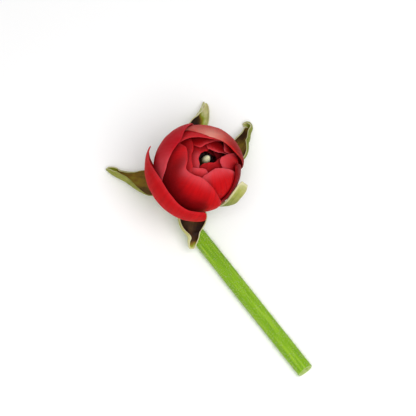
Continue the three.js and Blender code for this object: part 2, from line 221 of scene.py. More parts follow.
def stem_skin():
    """Fresh green stalk skin: matt and juicy, with light and dark green streaks along its
    ribs. Living tissue has an index of refraction near 1.4."""
    material, tree = new_material("fresh_stalk_skin")
    uv = add(tree, "ShaderNodeTexCoord")
    stretched = add(tree, "ShaderNodeMapping", {"Scale": (RIBS * 2, 7, 1)},
                    {"Vector": uv.outputs["UV"]})
    streaks = add(tree, "ShaderNodeTexNoise", {"Scale": 1.0, "Detail": 4, "Roughness": 0.6},
                  {"Vector": stretched.outputs["Vector"]})
    green = add(tree, "ShaderNodeValToRGB", None, {"Fac": streaks.outputs["Fac"]})
    set_steps(green.color_ramp, [(0.3, STEM_SHADE), (0.5, STEM_GREEN), (0.72, STEM_LIGHT)])
    grain = add(tree, "ShaderNodeTexNoise", {"Scale": 900.0, "Detail": 2},
                {"Vector": uv.outputs["Object"]})
    bump = add(tree, "ShaderNodeBump", {"Strength": 0.25, "Distance": 0.1 * MM},
               {"Height": grain.outputs["Fac"]})
    skin = add(tree, "ShaderNodeBsdfPrincipled",
               {"Roughness": 0.55, "IOR": 1.4, "Specular IOR Level": 0.2, "Subsurface Weight": 0.2,
                "Subsurface Scale": 1.2 * MM, "Subsurface Radius": (0.6, 1.0, 0.1)},
               {"Base Color": green.outputs["Color"], "Normal": bump.outputs["Normal"]})
    add(tree, "ShaderNodeOutputMaterial", None, {"Surface": skin.outputs["BSDF"]})
    return material


def pith():
    """The cut across the stalk: wet pale green-white pith with a fibrous grain."""
    material, tree = new_material("wet_cut_pith")
    place = add(tree, "ShaderNodeTexCoord")
    fibres = add(tree, "ShaderNodeTexVoronoi", {"Scale": 1600.0},
                 {"Vector": place.outputs["Object"]})
    colour = add(tree, "ShaderNodeValToRGB", None, {"Fac": fibres.outputs["Distance"]})
    set_steps(colour.color_ramp, [(0, PITH_WHITE), (1, STEM_LIGHT)])
    cut = add(tree, "ShaderNodeBsdfPrincipled", {"Roughness": 0.35, "IOR": 1.38},
              {"Base Color": colour.outputs["Color"]})
    add(tree, "ShaderNodeOutputMaterial", None, {"Surface": cut.outputs["BSDF"]})
    return material


bm = bmesh.new()
bm.loops.layers.uv.new("UVMap")
grid_sheet(bm, *STEM_GRID, lambda u, v: stem_surface(2 * math.pi * u, stem_length * v)[0],
           closed=True)
ends = bmesh.ops.holes_fill(bm, edges=[e for e in bm.edges if e.is_boundary], sides=0)["faces"]
cut_face = min(ends, key=lambda face: face.calc_center_median().y)
cut_face.material_index = 1
cut_radius = STEM_RADII[-1][1] - CUT_RIM
bmesh.ops.inset_individual(bm, faces=[cut_face], thickness=CUT_RIM * MM, depth=0.0)
hollow = bmesh.ops.inset_individual(bm, faces=[cut_face], thickness=(cut_radius - PITH_RADIUS) * MM,
                                    depth=0.0)
bmesh.ops.translate(bm, verts=cut_face.verts, vec=-PITH_DEPTH * MM * STEM_HEADING)
for face in hollow["faces"]:
    face.material_index = 1
bmesh.ops.recalc_face_normals(bm, faces=bm.faces)
finish_piece("stem_skin", bm, [stem_skin(), pith()], ["stem"])

# The sepals. Five boat-shaped green leaves under the bloom, rooted on the receptacle's widest
# ring and bent back. Their inside is brown to olive, and their pale margins roll inwards, on
# most of them until they meet near the tip. Widths are measured along the curved leaf.
SEPAL_LEVEL = -20.4
SEPAL_RING = 5.95
SEPAL_THICKNESS = 0.45
SEPAL_SINK = 0.9
SEPAL_GRID = (48, 56)
SEPAL_TANGENT_STEP = 0.01
LEAST_ROLL = 0.02
LEAST_ROLL_TURN = 0.01
MOST_ROLLED = 0.7
FLUTTER = 0.3
FLUTTER_WAVES = (3, 5)
TIP_SPAN = 20
TIP_MARGIN = 0.1
TONE_PLACES = (0.25, 0.5, 0.75)
# A sepal's root is its turn on the receptacle in degrees, and its line runs from there through
# points that are measured from FOOT. Each other list goes by the share of the leaf's length:
# half_width; bend, how far each half curves up, in radians; rolls, the length and the turn of
# the tighter roll at either margin; tone, how light the inside is at TONE_PLACES across the
# leaf; pale, how light the outside is; twist about the line, in degrees; and bare, by how much
# the pale edge is narrower.
SEPALS = {
    "sepal_left": {
        "root": 178,
        "line": [(-16.5, 0.6, 8.4), (-21.6, 1.7, 6), (-27.3, 3.5, 4.2),
                 (-31.3, 5.3, 3), (-34.7, 7.1, 1.8), (-39.5, 10.7, 0.9)],
        "half_width": [(0, 2), (0.28, 6.8), (0.44, 7), (0.58, 5.9), (0.7, 4.8), (0.8, 4.3),
                       (0.93, 3.2), (1, 1.2)],
        "bend": [(0, 0.5), (0.4, 0.5), (0.62, 0.6), (0.78, 1.2), (0.86, 2.1), (1, 2.3)],
        "rolls": ([(0.5, 0, 0), (0.62, 1.6, 2.4), (0.8, 1.7, 1.9), (0.88, 0, 0)],
                  [(0.3, 0.8, 0.8), (0.45, 2.2, 2.2), (0.6, 3, 2.7), (0.78, 2.2, 1.9),
                   (0.88, 0, 0)]),
        "tone": [(0.3, (0.45, 0.46, 0.3)), (0.47, (0.4, 0.5, 0.32)), (0.62, (0.5, 0.55, 0.4)),
                 (0.78, (0.5, 0.5, 0.35)), (1, (0.8, 0.8, 0.8))],
        "pale": [(0.4, 0.4), (0.7, 0.38), (1, 0.35)],
        "bare": [(0, 0.5), (0.5, 0.4), (1, 0)],
    },
    "sepal_back": {
        "root": 100,
        "line": [(-4.7, 16, 8.4), (-0.8, 29.2, 5), (0.3, 32.4, 3.8),
                 (0.9, 35.5, 2.8), (1.4, 38.5, 1.6), (2.1, 40.8, 0.9)],
        "half_width": [(0, 1.9), (0.3, 5), (0.56, 5), (0.7, 4.5), (0.83, 3.9), (0.93, 3),
                       (0.98, 1.9), (1, 0.8)],
        "bend": [(0, 0.5), (0.6, 0.4), (0.8, 0.7), (0.92, 1.2), (1, 1.6)],
        "rolls": ([(0.4, 0.6, 0.6), (0.7, 1.1, 1.5), (0.92, 0.8, 0.8), (1, 0, 0)],
                  [(0.4, 0.5, 0.9), (0.56, 0.9, 1.2), (0.68, 1.3, 1.6), (0.76, 1.9, 2.1),
                   (0.84, 2.8, 2.6), (0.9, 2.6, 2.5), (0.96, 1.2, 1.2), (1, 0, 0)]),
        "tone": [(0.45, (0.3, 0.08, 0.06)), (0.6, (0.6, 0.05, 0.03)), (0.68, (0.75, 0.1, 0.02)),
                 (0.75, (0.85, 0.35, 0.03)), (0.81, (0.9, 0.75, 0.15)), (0.88, (1, 0.95, 0.4)),
                 (1, (1, 1, 0.95))],
        "pale": [(0.4, 0.7), (1, 0.85)],
    },
    "sepal_back_right": {
        "root": 38,
        "line": [(8, 10.5, 8.6), (16.3, 17, 7), (18.9, 21.3, 5), (21, 26, 3.2),
                 (22, 29.2, 1.6), (20.9, 31.3, 1), (18.2, 30.8, 0.8)],
        "half_width": [(0, 2.2), (0.35, 6.8), (0.52, 7), (0.64, 5.6), (0.72, 4.6), (0.84, 3.4),
                       (0.95, 2.8), (1, 1.2)],
        "bend": [(0, 0.5), (0.5, 0.5), (0.7, 0.8), (0.8, 1.7), (1, 2.3)],
        "rolls": ([(0.35, 1, 1), (0.5, 2.6, 2.4), (0.72, 2.2, 2.2), (0.84, 0, 0)],
                  [(0.35, 1, 1), (0.5, 2.2, 2.4), (0.72, 1.8, 2.2), (0.84, 0, 0)]),
        "tone": [(0.3, (0.35, 0.5, 0.5)), (0.48, (0.28, 0.4, 0.45)), (0.62, (0.42, 0.4, 0.32)),
                 (0.74, (0.5, 0.3, 0.1)), (0.84, (0.6, 0.5, 0.4)), (1, (0.9, 0.9, 0.9))],
        "pale": [(0.4, 0.3), (0.75, 0.25), (0.88, 0.35), (1, 0.5)],
    },
    "sepal_right": {
        "root": 330,
        "line": [(3.5, -6, 10.8), (7.5, -9.3, 13.8), (10.3, -12.3, 18.8), (12.9, -13.3, 24),
                 (15.2, -12.4, 29), (17.5, -9.9, 31), (19.1, -6.8, 31.6)],
        "half_width": [(0, 2.2), (0.35, 2.9), (0.6, 2.9), (0.85, 3), (0.95, 2.8), (1, 1.8)],
        "bend": [(0, 0.4), (0.4, 0.2), (1, 0.15)],
        "twist": [(0, 0), (0.3, -18), (0.55, -36), (1, -38)],
        "rolls": ([(0.3, 0.4, 0.4), (0.6, 0.6, 0.6), (0.9, 0.6, 0.6), (1, 0, 0)],
                  [(0.3, 0.4, 0.4), (0.6, 0.6, 0.6), (0.9, 0.6, 0.6), (1, 0, 0)]),
        # Its inside is pale, and is painted paler still as painted light where the bloom shades it.
        "tone": [(0.3, (0.85, 0.85, 0.95)), (0.55, (1, 1, 1)), (0.8, (1, 0.75, 1)),
                 (0.92, (1, 0.95, 1)), (1, (0.9, 0.9, 0.9))],
        "pale": [(0.3, 0.15), (0.6, 0.25), (0.8, 0.4), (1, 0.8)],
        "bare": [(0, 0), (0.45, -0.3), (1, -0.4)],
    },
    "sepal_front": {
        "root": 262,
        "line": [(-3.8, -13.7, 10.4), (-4.2, -19.8, 8.8), (-3.6, -23.3, 7.2), (-3.5, -26.9, 5.6)],
        "half_width": [(0, 1.9), (0.35, 7), (0.5, 7.2), (0.72, 5), (0.88, 3.5), (0.96, 2.4), (1, 1)],
        "bend": [(0, 0.5), (0.45, 0.5), (0.72, 0.8), (0.88, 1.2), (1, 1.6)],
        "rolls": ([(0.3, 1, 1), (0.45, 2, 2.4), (0.72, 2, 2.4), (0.9, 1, 1.6), (1, 0, 0)],
                  [(0.3, 1, 1), (0.45, 1.2, 1.4), (0.72, 1.1, 1.4), (0.9, 0.9, 1.4), (1, 0, 0)]),
        "tone": [(0.3, (0.15, 0.38, 0.15)), (0.5, (0.05, 0.3, 0.05)), (0.7, (0, 0.15, 0)),
                 (0.84, (0.1, 0.25, 0.2)), (0.91, (0.9, 0.5, 0.8)), (1, (1, 1, 1))],
        "pale": [(0.3, 0.6), (0.8, 0.75), (1, 1)],
    },
}
NO_CHANGE = [(0, 0), (1, 0)]
# The palest inside step is lighter than the leaf's own pale, as painted light against the bloom's
# shade.
SEPAL_INSIDE = [(0, "#231107"), (0.25, "#452b11"), (0.5, "#866a1f"), (0.75, "#8f9d26"),
                (1, "#deda9e")]
SEPAL_OUTSIDE = [(0, "#66782a"), (0.3, "#848a3c"), (0.55, "#a3a355"), (1, "#d6d3ab")]
SEPAL_EDGE = "#d3cca4"


def sepal_section(half, bend, roll, roll_turn, share):
    """How far across and how far up a leaf's half section is at a share of its length: an
    even bend, and after it a tighter roll of the given length and turn."""
    plain = half - roll
    walked = half * share
    angle = bend * min(walked, plain) / plain
    across, up = plain / bend * math.sin(angle), plain / bend * (1 - math.cos(angle))
    if walked > plain:
        radius = roll / roll_turn
        further = bend + (walked - plain) / radius
        across += radius * (math.sin(further) - math.sin(bend))
        up += radius * (math.cos(bend) - math.cos(further))
    return across, up


def sepal_line(shape):
    """A sepal's middle line, from the receptacle to its tip."""
    turn = math.radians(shape["root"])
    root = BLOOM @ Vector(((SEPAL_RING - SEPAL_SINK) * math.cos(turn),
                           (SEPAL_RING - SEPAL_SINK) * math.sin(turn), SEPAL_LEVEL))
    return smooth_line([root, *[FOOT + Vector(p) for p in shape["line"]]])[0]


def sepal_surface(shape, point_at, u, v):
    """A point of a sepal's middle layer and the way it faces, towards the bloom."""
    centre = point_at(v)
    tangent = way_along(point_at, v, SEPAL_TANGENT_STEP)
    twist = math.radians(smooth_at(shape.get("twist", NO_CHANGE), v))
    side = (BLOOM_CENTRE - centre).cross(tangent).normalized()
    side = Matrix.Rotation(twist, 3, tangent) @ side
    facing = tangent.cross(side)
    half = smooth_at(shape["half_width"], v)
    outwards = abs(2 * u - 1)
    rolls = shape["rolls"][0 if u < 0.5 else 1]
    roll = max(smooth_at([(place, length) for place, length, _ in rolls], v), LEAST_ROLL)
    roll = min(roll, MOST_ROLLED * half)
    roll_turn = max(smooth_at([(place, angle) for place, _, angle in rolls], v), LEAST_ROLL_TURN)
    across, up = sepal_section(half, smooth_at(shape["bend"], v), roll, roll_turn, outwards)
    waves = noise.noise(Vector((shape["root"], FLUTTER_WAVES[1] * v, FLUTTER_WAVES[0] * u)))
    up += FLUTTER * waves * outwards**2
    point = centre + math.copysign(across, u - 0.5) * side + up * facing
    point.z = max(point.z, SURFACE + SEPAL_THICKNESS / 2)
    return point, facing


def sepal_skin(name, attribute, steps, unevenness):
    """Dull leaf tissue with veins along the leaf, about 0.7 mm apart. The attribute says how
    light it is at each place, and the thin free edge is pale."""
    material, tree = new_material(name)
    uv = add(tree, "ShaderNodeTexCoord")
    tone = add(tree, "ShaderNodeAttribute", attribute_name=attribute)
    margin = add(tree, "ShaderNodeAttribute", attribute_name="margin")
    veins_place = add(tree, "ShaderNodeMapping", {"Scale": (18, 2.2, 1)},
                      {"Vector": uv.outputs["UV"]})
    veins = add(tree, "ShaderNodeTexNoise",
                {"Scale": 1.0, "Detail": 4, "Roughness": 0.6, "Distortion": 0.3},
                {"Vector": veins_place.outputs["Vector"]})
    blotch = add(tree, "ShaderNodeTexNoise", {"Scale": 420.0, "Detail": 3},
                 {"Vector": uv.outputs["Object"]})
    mottle = add(tree, "ShaderNodeMath", None,
                 {0: veins.outputs["Fac"], 1: blotch.outputs["Fac"]}, operation="ADD")
    mottled = add(tree, "ShaderNodeMapRange",
                  {"From Min": 0.6, "From Max": 1.4, "To Min": -unevenness, "To Max": unevenness},
                  {"Value": mottle.outputs["Value"]})
    toned = add(tree, "ShaderNodeMath", None,
                {0: tone.outputs["Fac"], 1: mottled.outputs["Result"]},
                operation="ADD", use_clamp=True)
    leaf = add(tree, "ShaderNodeValToRGB", None, {"Fac": toned.outputs["Value"]})
    set_steps(leaf.color_ramp, steps)
    edge = add(tree, "ShaderNodeMapRange",
               {"From Min": 0.1, "From Max": 0.6, "To Min": 0.7, "To Max": 0.0},
               {"Value": margin.outputs["Fac"]}, interpolation_type="SMOOTHSTEP")
    colour = add(tree, "ShaderNodeMix", {7: linear(SEPAL_EDGE)},
                 {"Factor": edge.outputs["Result"], 6: leaf.outputs["Color"]}, data_type="RGBA")
    bump = add(tree, "ShaderNodeBump", {"Strength": 0.4, "Distance": 0.15 * MM},
               {"Height": veins.outputs["Fac"]})
    skin = add(tree, "ShaderNodeBsdfPrincipled",
               {"Roughness": 0.6, "IOR": 1.4, "Specular IOR Level": 0.2, "Subsurface Weight": 0.15,
                "Subsurface Scale": 0.8 * MM, "Subsurface Radius": (0.7, 1.0, 0.2)},
               {"Base Color": colour.outputs[2], "Normal": bump.outputs["Normal"]})
    add(tree, "ShaderNodeOutputMaterial", None, {"Surface": skin.outputs["BSDF"]})
    return material


def give_wall(piece, thickness, offset, next_skin=0):
    """Gives the face of a leaf or petal its thickness and rounds its rim. An offset of 0 puts
    the face in the middle of the wall, and -1 on top of it. The other face and the rim take
    the material that comes next_skin places later in the piece's list."""
    wall = piece.modifiers.new("wall", "SOLIDIFY")
    wall.thickness = thickness * MM
    wall.offset = offset
    wall.material_offset = next_skin
    wall.material_offset_rim = next_skin
    rounding = piece.modifiers.new("rounding", "SUBSURF")
    rounding.levels = rounding.render_levels = 1


sepal_skins = [
    sepal_skin("stained_sepal_inside", "tone", SEPAL_INSIDE, unevenness=0.12),
    sepal_skin("leaf_green_sepal_outside", "pale", SEPAL_OUTSIDE, unevenness=0.2),
]
for name, shape in SEPALS.items():
    bm = bmesh.new()
    bm.loops.layers.uv.new("UVMap")
    margin = bm.verts.layers.float.new("margin")
    tone = bm.verts.layers.float.new("tone")
    pale = bm.verts.layers.float.new("pale")
    line = sepal_line(shape)
    for vert, u, v in grid_sheet(bm, *SEPAL_GRID, lambda u, v: sepal_surface(shape, line, u, v)[0]):
        from_side = smooth_at(shape["half_width"], v) * (1 - abs(2 * u - 1))
        from_tip = TIP_SPAN * (1 - v) + TIP_MARGIN
        vert[margin] = min(from_side, from_tip) + smooth_at(shape.get("bare", NO_CHANGE), v)
        columns = [(place, smooth_at([(at, tones[k]) for at, tones in shape["tone"]], v))
                   for k, place in enumerate(TONE_PLACES)]
        vert[tone] = smooth_at(columns, u)
        vert[pale] = smooth_at(shape["pale"], v)
    bm.normal_update()
    bm.faces.ensure_lookup_table()
    facing = sepal_surface(shape, line, 0.5, 0.5)[1]
    if sum(face.normal.dot(facing) for face in bm.faces) < 0:
        bmesh.ops.reverse_faces(bm, faces=bm.faces)
    sepal = finish_piece(name + "_leaf", bm, sepal_skins, [name])
    give_wall(sepal, SEPAL_THICKNESS, offset=0, next_skin=1)

# The petals. Thin cupped blades, each a little nearer the bloom's centre than the one it
# tucks under, and rooted by a narrower claw on the side of the receptacle. Their skin is satin
# red, with fine veins from claw to rim and a paler, pinker rim that also carries painted
# highlights. Painted shade darkens the folds of the bloom and the strips under covering rims,
# and three petals take painted copies of the skin: dark for shadow, rosy for sheen and salmon
# for a highlight.
BLADE = 0.65
PETAL_THICKNESS = 0.5
PETAL_GRID = (32, 32)
CLAW_SHARE = 0.62
CLAW_SINK = 0.15
CLAW_TRIES = 6
# Turns and polar angles are in degrees about the bloom's axis, and the rest is in millimetres.
# A petal's rim is its free margin as (turn, polar angle), and its reach how far its face is
# from the bloom's centre as (turn, distance). The upper part of one with a stand is that much
# further out, and its tuck is how far its rim turns in. Its pink_and_painted_light is how pink
# the rim is along the turns, partly the rim's own pink and partly a painted highlight, and on
# some petals painted light that lifts a shaded part; band is how far down it goes. Its shade is
# how strong the painted shade below the rim is, in full from fold downwards. Its crease is how
# wide the strip of painted shadow is where another petal covers it, along the turns, and
# crease_depth how dark that painted shadow is.
PETALS = {
    "petal_outer_left": {
        "rim": [(156, 95), (172, 87), (193, 73), (210, 68), (231, 71), (252, 77), (267, 76),
                (274, 77), (277, 84), (279, 95)],
        "reach": [(156, 20.5), (200, 20.5), (250, 20.4), (279, 19.7)],
        "stand": 2.7, "pink_and_painted_light": [(156, 0.25), (277, 0.05)], "band": 1.5,
    },
    # Its rosy skin is painted sheen, and the wide pink band on its lower part painted light.
    "petal_outer_upper_left": {
        "rim": [(99, 84), (107, 70), (124, 55), (150, 45), (178, 54), (198, 68), (207, 84)],
        "reach": [(99, 19.45), (150, 19.5), (207, 19.4)],
        "pink_and_painted_light": [(99, 0.22), (130, 0.12), (165, 0.08), (185, 0.4), (207, 0.55)], "band": 14,
        "crease_depth": 0, "skin": "rosy",
    },
    # The pale salmon along its upper rim is a painted highlight.
    "petal_outer_back": {
        "rim": [(6, 84), (7, 74), (8, 63), (9.5, 54), (12, 47.5), (16, 43), (22, 39.5), (34, 34.5),
                (51, 30.5), (74, 28.5), (90, 31), (102, 36), (112, 43.5), (119, 54), (124, 70)],
        "reach": [(6, 19.1), (20, 19), (60, 18.85), (90, 18.4), (124, 18.35)],
        "pink_and_painted_light": [(0, 0.1), (30, 0.05), (50, 0.25), (65, 0.55), (88, 0.8), (104, 0.5), (124, 0.2)],
        "band": 7, "shade": [(0, 0.9), (25, 0.6), (45, 0.3), (62, 0)], "fold": 0.6,
        "tuck": 0.7, "skin": "salmon",
    },
    "petal_front": {
        "rim": [(148, 62), (158, 37), (169, 31.5), (182, 30.5), (195, 31), (204, 34.5), (212, 38.5),
                (230, 36.5), (252, 33.5), (264, 36), (276, 41.5), (288, 54), (300, 80)],
        "reach": [(148, 18.4), (200, 18.4), (250, 18.6), (300, 18.35)],
        "pink_and_painted_light": [(148, 0.1), (175, 0.12), (205, 0.25), (222, 0.5), (262, 0.45), (280, 0.15),
                  (300, 0.05)],
        "band": 3.2,
        "shade": [(148, 0.5), (160, 0.3), (176, 0.15), (188, 0.5), (200, 0.8), (212, 0.6),
                  (225, 0.25), (240, 0)],
        "fold": 1.5,
        "crease": [(148, 1.5), (182, 2), (200, 3.5), (215, 4.6), (300, 4.2)], "crease_depth": 0.75,
    },
    # Its whole skin is the dark red of painted shadow, as this petal lies in shade.
    "petal_outer_right": {
        "rim": [(283, 98), (300, 85), (313, 75.5), (322, 69), (329, 63), (336, 57), (343, 52),
                (349, 47), (355, 49), (361, 58), (366, 74), (370, 90)],
        "reach": [(283, 17.3), (300, 17.3), (340, 17.5), (370, 17.5)],
        "pink_and_painted_light": [(283, 0), (370, 0)], "band": 1.6, "skin": "maroon",
    },
    "petal_right": {
        "rim": [(244, 62), (256, 34), (266, 28), (280, 23.5), (304, 21.5), (325, 27.5), (337, 37),
                (343, 48), (346, 62), (348, 76)],
        "reach": [(244, 17.2), (272, 16.7), (290, 16.2), (320, 16.3), (348, 16.5)],
        "pink_and_painted_light": [(244, 0.4), (300, 0.5), (348, 0.55)], "band": 3.6,
        "shade": [(244, 0), (334, 0), (348, 0.6)],
    },
    # Its pink over the whole face is painted light in the shadow of the back petal.
    "petal_mid_back": {
        "rim": [(32, 74), (40, 50), (50, 38), (63, 31), (83, 28.5), (101, 30.5), (116, 35), (126, 40),
                (140, 47), (154, 56), (166, 72)],
        "reach": [(32, 17.6), (70, 17.4), (140, 17.2), (166, 17.05)],
        "pink_and_painted_light": [(32, 0.2), (166, 0.2)], "band": 6,
        "shade": [(32, 0.2), (90, 0), (120, 0.05), (166, 0.25)], "crease_depth": 0,
    },
    "petal_back_right": {
        "rim": [(12, 78), (15, 62), (19, 44), (25, 35), (34, 34.5), (44, 42), (54, 52), (62, 66)],
        "reach": [(12, 15.55), (28, 15.65), (44, 16.2), (62, 16.25)],
        "pink_and_painted_light": [(12, 0.2), (26, 0.4), (62, 0.1)], "band": 1.2, "shade": [(12, 0.3), (62, 0.3)],
    },
    "petal_mid_left": {
        "rim": [(114, 66), (130, 38), (150, 27), (175, 26), (200, 27), (220, 31), (232, 44),
                (242, 68)],
        "reach": [(114, 15.4), (162, 16.0), (182, 16.9), (242, 17.2)],
        "pink_and_painted_light": [(114, 0.05), (242, 0.2)], "band": 2,
        "shade": [(114, 0.5), (180, 0.45), (242, 0.4)], "fold": 0.8,
    },
    "petal_mid_front": {
        "rim": [(199, 64), (211, 37), (231, 25), (255, 21), (270, 24), (285, 40), (296, 66)],
        "reach": [(199, 15.95), (265, 15.55), (296, 15.1)],
        "pink_and_painted_light": [(199, 0.5), (296, 0.4)], "band": 2.5,
    },
    "petal_mid_right": {
        "rim": [(319, 62), (331, 34), (341, 23), (352, 20.5), (363, 21.3), (371, 27), (375, 32),
                (378, 41), (381, 55), (383, 68), (385, 80)],
        "reach": [(319, 15.05), (345, 15.15), (356, 15.85), (366, 16.5), (385, 16.6)],
        "pink_and_painted_light": [(319, 0.3), (345, 0.45), (385, 0.45)], "band": 5,
        "shade": [(319, 0.2), (385, 0.3)], "fold": 1,
    },
    "petal_inner_back": {
        "rim": [(50, 56), (60, 42), (74, 31), (84, 26.5), (98, 24), (112, 22.5), (126, 24),
                (134, 33), (142, 58)],
        "reach": [(50, 15.4), (88, 15.3), (101, 14.95), (114, 14.45), (142, 14.38)],
        "pink_and_painted_light": [(50, 0.2), (98, 0.3), (142, 0.2)], "band": 1,
        "shade": [(50, 0.4), (142, 0.4)], "fold": 0.8,
    },
    "petal_inner_left": {
        "rim": [(66, 54), (72, 26), (80, 17.5), (96, 15.7), (110, 15), (129, 14.2), (147, 14),
                (172, 14.6), (192, 15.9), (212, 17), (230, 21), (243, 36), (253, 62)],
        "reach": [(66, 12.95), (98, 13), (112, 13.15), (142, 13.6), (165, 14.4), (195, 14.75),
                  (253, 14.4)],
        "pink_and_painted_light": [(66, 0.05), (130, 0.1), (165, 0.4), (253, 0.4)], "band": 2.2,
        "shade": [(66, 0.5), (150, 0.4), (200, 0.25), (253, 0.3)], "fold": 0.6,
    },
    "petal_inner_front": {
        "rim": [(222, 56), (227, 30), (231, 19), (237, 12.5), (256, 9.6), (291, 8.6), (321, 12),
                (342, 16.6), (358, 19.8), (371, 27), (378, 40), (384, 58)],
        "reach": [(222, 13.4), (254, 13.45), (275, 13.9), (320, 13.9), (345, 13.55), (384, 13.25)],
        "pink_and_painted_light": [(222, 0.1), (384, 0.1)], "band": 1.5,
        "shade": [(222, 0.3), (290, 0.4), (384, 0.6)], "fold": 0.8,
    },
    "petal_inner_right": {
        "rim": [(8, 66), (14, 52), (20, 42), (25, 34), (29, 26), (43, 19.6), (62, 17.1),
                (80, 17.4), (89, 19), (94, 27), (98, 42), (101, 58)],
        "reach": [(8, 14.3), (20, 14.4), (44, 14.4), (70, 14.2), (101, 14)],
        "pink_and_painted_light": [(8, 0.3), (30, 0.5), (60, 0.4), (101, 0.2)], "band": 1,
        "shade": [(8, 0.5), (101, 0.4)], "fold": 0.8,
    },
}
RIM_TUCK = 0.3
RIM_TUCK_WIDTH = 1.1
RIM_UNEVENNESS = 0.9
RIM_WAVE = 6
FACE_UNEVENNESS = 0.16
FACE_WAVE = 9
STAND_FROM = 0.05
STAND_OVER = 0.7
# How far below the rim painted shade reaches full strength, where a petal gives no fold.
FOLD_WIDTH = 3
COVER_GAP = 0.4
# The width and darkness of the strip of painted shadow under a covering petal's rim.
CREASE_WIDTH = [(0, 1.4), (1, 1.4)]
CREASE_DEPTH = 0.45
PETAL_RED = "#c20c12"
PETAL_DEEP = "#ac0910"
# A dark red that paints a whole petal in shadow.
PETAL_PAINTED_SHADOW = "#860a0e"
# A rosy red that paints the sheen on an outer petal's back.
PETAL_ROSE_SHEEN = "#b40d1f"
PETAL_CLAW = "#5e070c"
# The pink of the rims, which also paints their highlights.
PETAL_PINK_AND_HIGHLIGHT = "#e0606a"
# A pale salmon that paints the highlight along the back petal's rim.
PETAL_SALMON_HIGHLIGHT = "#dc9c8c"
# The deep red of painted shade, in the folds and under covering rims.
PETAL_SHADE = "#6a0c10"


def bloom_point(polar, turn, reach):
    """A point from its polar angle and turn on the bloom, in degrees, and its distance."""
    theta, phi = math.radians(polar), math.radians(turn)
    return BLOOM @ Vector((reach * math.sin(theta) * math.cos(phi),
                           reach * math.sin(theta) * math.sin(phi), reach * math.cos(theta)))


def claw_polar(reach):
    """The polar angle at which a petal of this reach is rooted in the receptacle's side, found
    in a few steps from a first guess of the ring's radius there."""
    ring = RECEPTACLE[1][1]
    for _ in range(CLAW_TRIES):
        ring = smooth_at(RECEPTACLE, -math.sqrt(reach**2 - ring**2)) - CLAW_SINK
    return 180 - math.degrees(math.asin(ring / reach))


def petal_point(shape, u, v):
    """A point of a petal's outer face, its turn and polar angle, and how far it is below the
    free margin. Columns lie closer together towards the petal's sides."""
    first, last = shape["rim"][0][0], shape["rim"][-1][0]
    middle = (first + last) / 2
    share = (u + (1 - math.cos(math.pi * u)) / 2) / 2
    rim_turn = first + (last - first) * share
    width = CLAW_SHARE + (1 - CLAW_SHARE) * math.sin(v * math.pi / 2)
    turn = middle + (rim_turn - middle) * width
    rooted = smooth_at(shape["reach"], turn)
    rim_polar = smooth_at(shape["rim"], rim_turn)
    rim_polar += RIM_UNEVENNESS * noise.noise(Vector((rim_turn / RIM_WAVE, middle, 0)))
    root_polar = claw_polar(rooted - BLADE)
    polar = root_polar + (rim_polar - root_polar) * v
    rise = min(max((v - STAND_FROM) / STAND_OVER, 0), 1)
    out = rooted + shape.get("stand", 0) * rise * rise * (3 - 2 * rise)
    out += FACE_UNEVENNESS * noise.noise(Vector((turn / FACE_WAVE, polar / FACE_WAVE, middle)))
    down = rooted * math.radians(polar - rim_polar)
    out -= shape.get("tuck", RIM_TUCK) * math.exp(-((down / RIM_TUCK_WIDTH) ** 2))
    return bloom_point(polar, turn, out), turn, polar, down


def crease(turn, polar, out, width):
    """How deep a point of a petal lies in the painted shadow under an outer petal's rim, 0 to 1."""
    deepest = 0
    for other in PETALS.values():
        first, last = other["rim"][0][0], other["rim"][-1][0]
        for at in (turn - 360, turn, turn + 360):
            if first < at < last and smooth_at(other["reach"], at) > out + COVER_GAP:
                apart = out * math.radians(max(smooth_at(other["rim"], at) - polar, 0))
                deepest = max(deepest, math.exp(-((apart / width) ** 2)))
    return deepest


